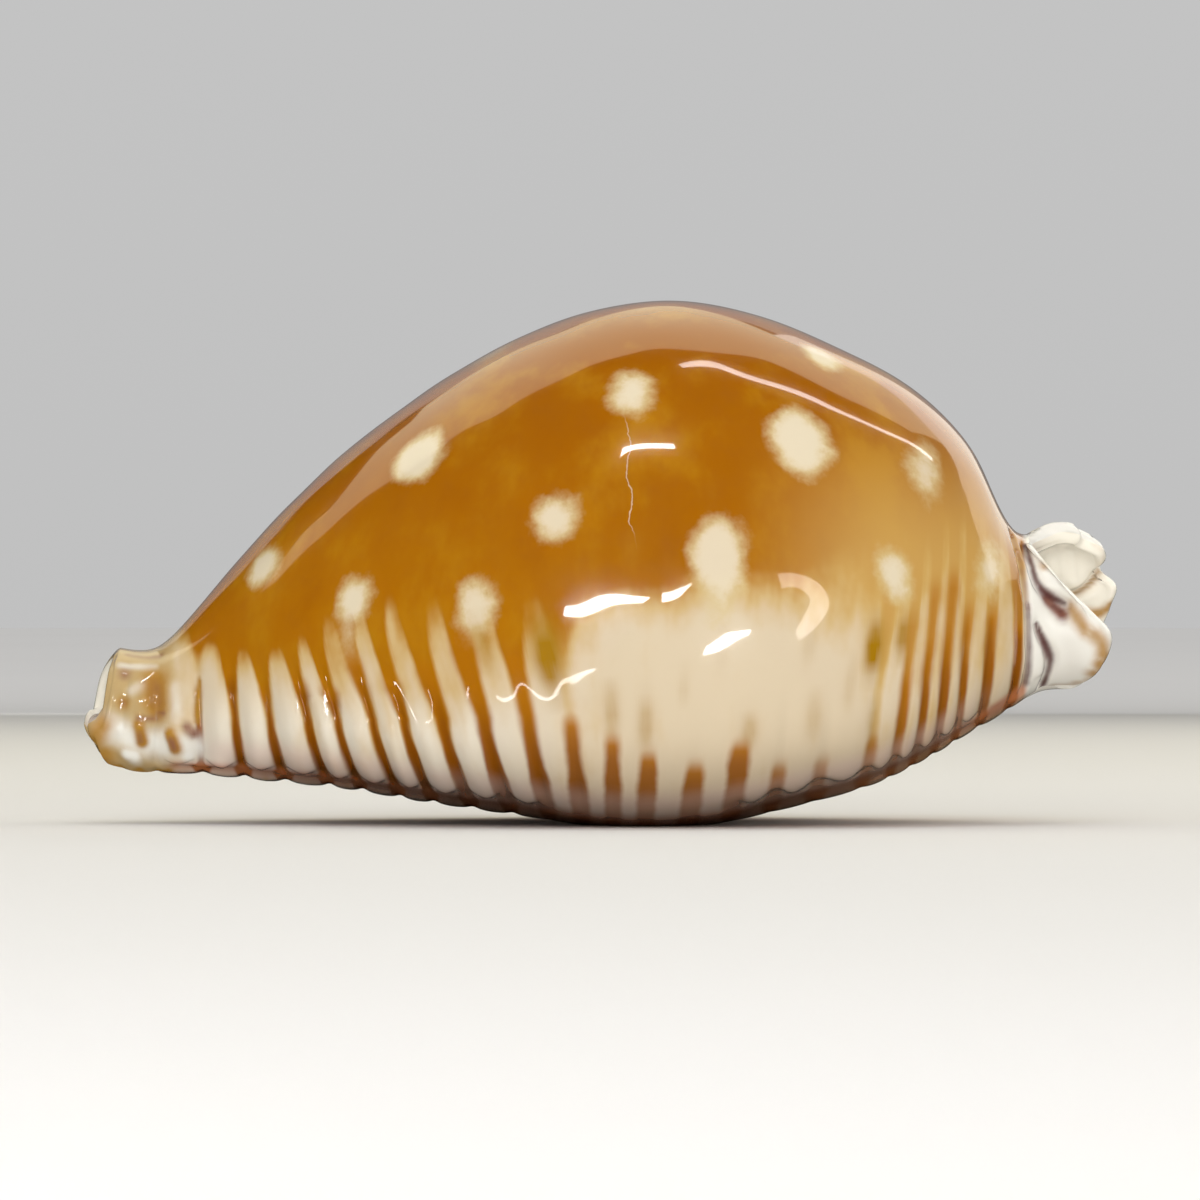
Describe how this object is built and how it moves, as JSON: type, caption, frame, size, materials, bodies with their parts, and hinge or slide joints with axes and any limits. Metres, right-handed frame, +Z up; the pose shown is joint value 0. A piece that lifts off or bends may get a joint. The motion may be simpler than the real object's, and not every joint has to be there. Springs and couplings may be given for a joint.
{
  "type": "cowrie shell",
  "caption": "Hollow egg-shaped sea shell with a narrow toothed slot along its base, a short front beak, a lobed rear canal and ribbed margins, lying base down.",
  "frame": {"origin": "middle of the footprint, at the level of the surface that the shell rests on", "axes": "+X along the shell from the narrow front beak to the broad rear canal, +Z up from the slotted base to the domed back, +Y towards the outer-lip side"},
  "size_m": [0.0599, 0.0356, 0.0301],
  "materials": {
    "shell": "polished"
  },
  "bodies": {
    "root": {"cowrie_shell": "shell"}
  },
  "joints": []
}
